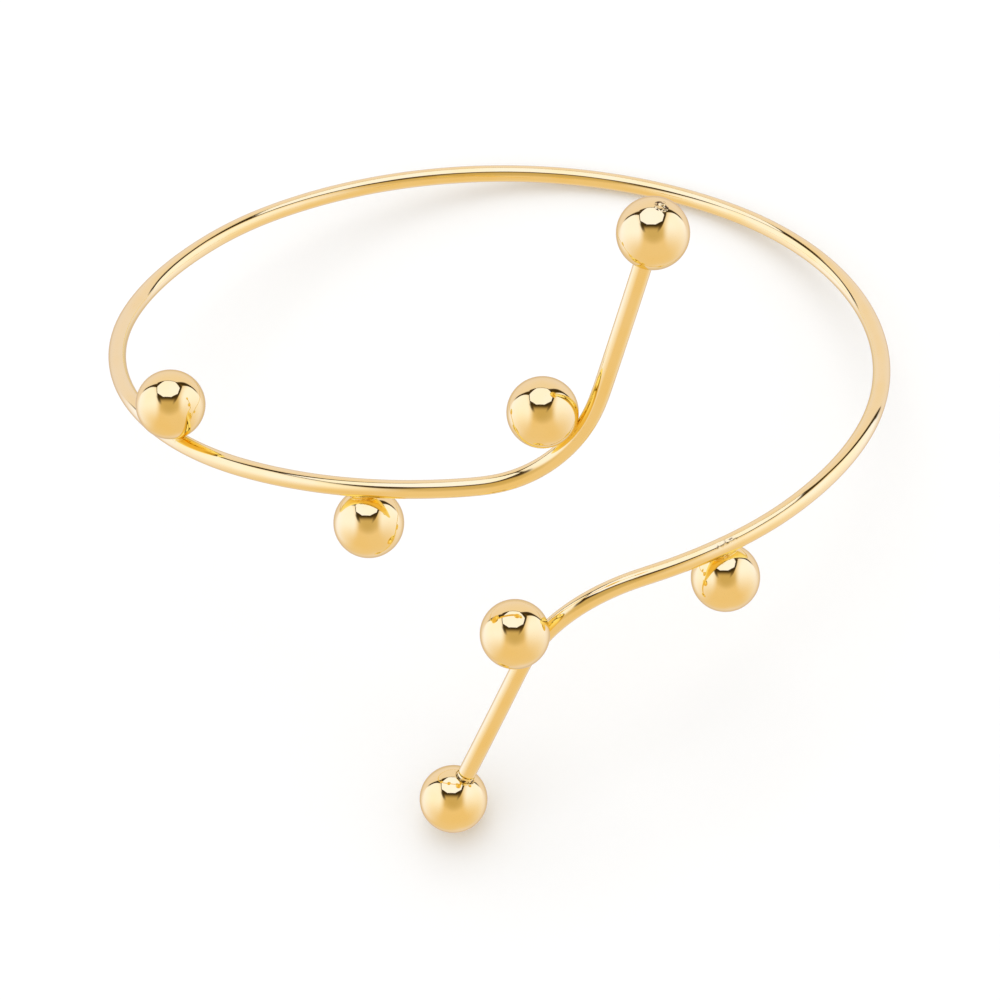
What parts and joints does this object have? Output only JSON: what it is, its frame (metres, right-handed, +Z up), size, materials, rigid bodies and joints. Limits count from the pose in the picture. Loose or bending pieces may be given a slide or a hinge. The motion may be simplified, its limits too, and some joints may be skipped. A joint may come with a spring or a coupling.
{
  "type": "upper arm cuff",
  "caption": "Open upper arm cuff of round gold-coloured wire round an oval, one end rising and the other dropping to an end ball, with more balls soldered along the wire.",
  "frame": {"origin": "middle of the bounding box on the floor that the cuff rests on", "axes": "+Z up from the floor; the front, where the ends part, faces -Y and the plain back of the wire is towards +Y; +X is to the wearer's side that the lower run comes from. The cuff leans back as it rests, so the arm's axis is tipped 23 degrees towards +Y and 9 degrees towards +X from +Z"},
  "size_m": [0.0878, 0.089, 0.0709],
  "materials": {
    "plated_band": "polished gold plate",
    "plated_ball": "polished gold plate"
  },
  "bodies": {
    "root": {"wire_band": "plated_band", "upper_end_ball": "plated_ball", "lower_end_ball": "plated_ball"}
  },
  "joints": []
}
